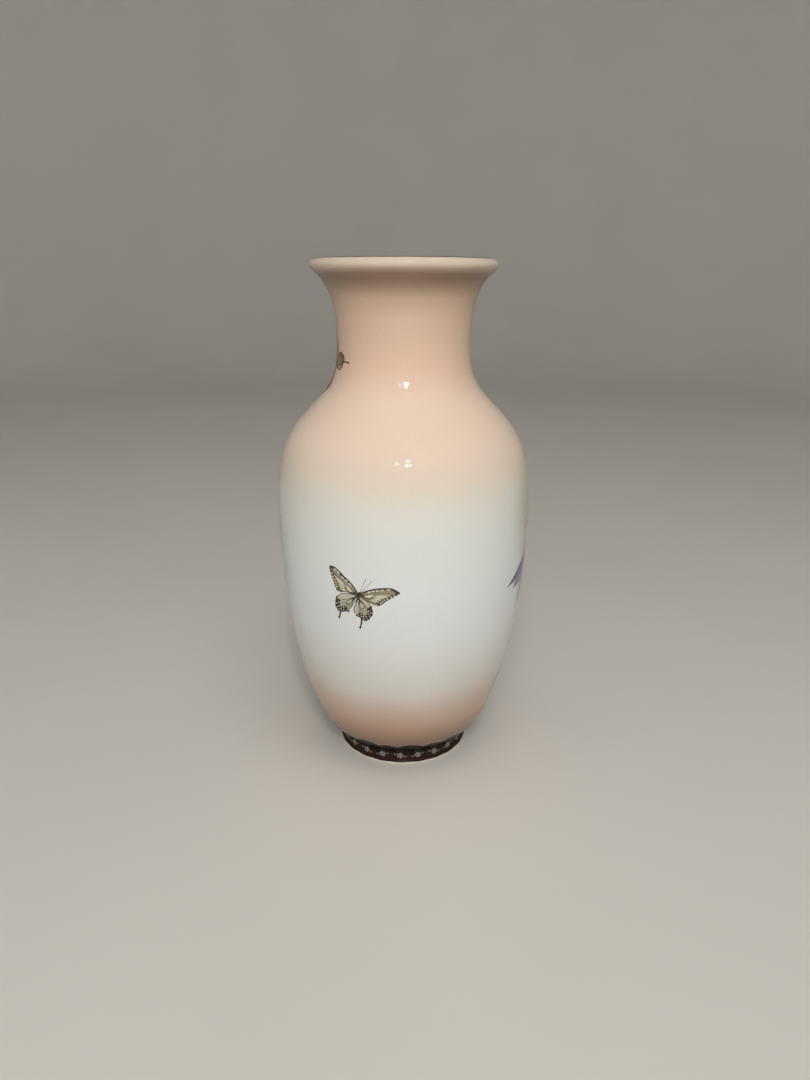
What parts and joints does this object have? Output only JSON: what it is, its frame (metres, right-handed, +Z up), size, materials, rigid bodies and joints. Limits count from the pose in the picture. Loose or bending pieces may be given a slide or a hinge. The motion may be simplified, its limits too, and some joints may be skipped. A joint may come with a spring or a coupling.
{
  "type": "porcelain vase",
  "caption": "Baluster flower vase in glazed porcelain, with a flared rolled lip, a foot ring and laid-on transfers of butterflies, violet blooms and a lace foot band.",
  "frame": {"origin": "centre of the foot ring on the surface that the vase stands on", "axes": "+Z up along the vase's axis of revolution, towards the lip; -Y is the face with the large butterfly, +X is to its right"},
  "size_m": [0.1212, 0.1211, 0.24],
  "materials": {
    "biscuit": "unglazed, smooth and matt",
    "glaze_tinted": "high gloss, white with a peach blush on the neck and foot",
    "glaze_clear": "high gloss, clear over white",
    "gilding": "burnished gold line, darkened",
    "lace_transfer": "fired black lace transfer, glossy",
    "butterfly_transfer": "fired cream, olive and black transfer, glossy",
    "bloom_transfer": "fired violet transfer, glossy",
    "leaf_transfer": "fired green transfer, glossy"
  },
  "bodies": {
    "root": {"porcelain_body": "biscuit", "outer_glaze": "glaze_tinted", "inner_glaze": "glaze_clear", "foot_recess_glaze": "glaze_clear", "lip_gilding": "gilding", "foot_lace_band": "lace_transfer", "front_butterfly": "butterfly_transfer", "neck_butterfly": "butterfly_transfer", "right_bloom": "bloom_transfer", "centre_bloom": "bloom_transfer", "left_bloom": "bloom_transfer", "bloom_stems": "leaf_transfer", "leaf_spray": "leaf_transfer", "bud_sprig": "bloom_transfer"}
  },
  "joints": []
}
